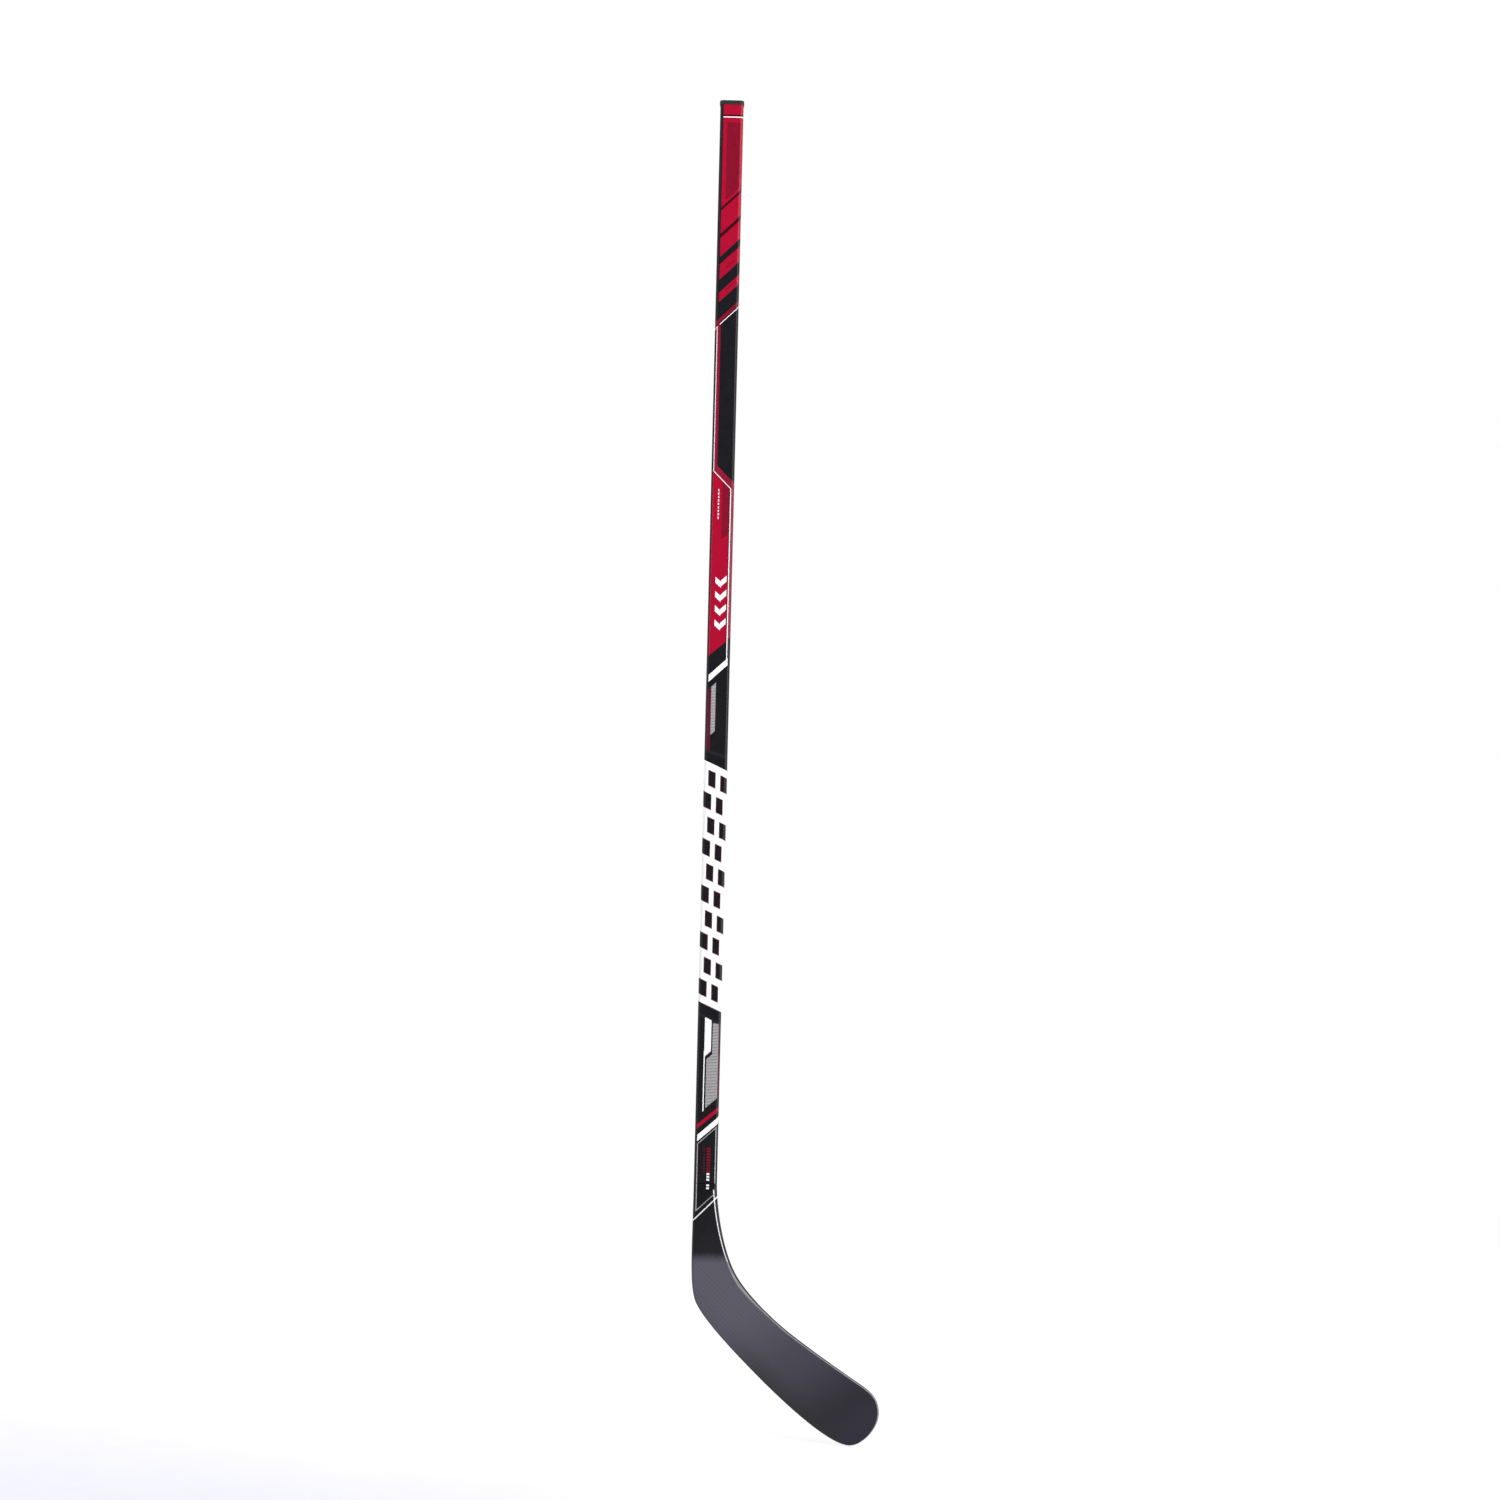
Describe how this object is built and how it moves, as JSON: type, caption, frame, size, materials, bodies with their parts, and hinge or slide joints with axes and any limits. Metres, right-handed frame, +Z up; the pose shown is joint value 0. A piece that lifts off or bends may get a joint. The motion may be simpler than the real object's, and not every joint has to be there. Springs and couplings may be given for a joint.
{
  "type": "ice hockey stick",
  "caption": "One-piece composite ice hockey stick with a rectangular hollow shaft, printed film, butt plug and a curved foam-cored blade for a left-handed player.",
  "frame": {"origin": "on the shaft's centre line, level with the heel where the line of the shaft meets the blade", "axes": "+Z runs up the shaft to the butt end, +X points towards the toe across the shaft's wide side, -Y is the side the playing face looks towards"},
  "size_m": [0.242, 0.0281, 1.6979],
  "materials": {
    "plug_plastic": "satin moulded plastic with a fine grain",
    "shaft_laminate": "clear-coated carbon fibre laminate",
    "front_film": "glossy printed film in red and black with white lines",
    "back_film": "glossy printed film in red and black with white lines",
    "filler": "sanded and lacquered epoxy filler",
    "inner_laminate": "bare carbon fibre laminate",
    "tenon_foam": "closed-cell foam",
    "adhesive": "cured epoxy adhesive",
    "heel_foam": "dense closed-cell foam",
    "lower_foam": "closed-cell foam",
    "upper_foam": "closed-cell foam",
    "rib_laminate": "bare carbon fibre laminate",
    "blade_laminate": "satin coated carbon fibre laminate",
    "blade_laminate_back": "satin coated carbon fibre laminate"
  },
  "bodies": {
    "root": {"butt_plug": "plug_plastic", "shaft_tube": "shaft_laminate", "decal_front": "front_film", "decal_back": "back_film", "joint_filler": "filler", "tenon_laminate": "inner_laminate", "tenon_core": "tenon_foam", "tenon_adhesive": "adhesive", "heel_core": "heel_foam", "blade_core_lower": "lower_foam", "blade_core_upper": "upper_foam", "blade_rib": "rib_laminate", "blade_skin_front": "blade_laminate", "blade_skin_back": "blade_laminate_back"}
  },
  "joints": []
}
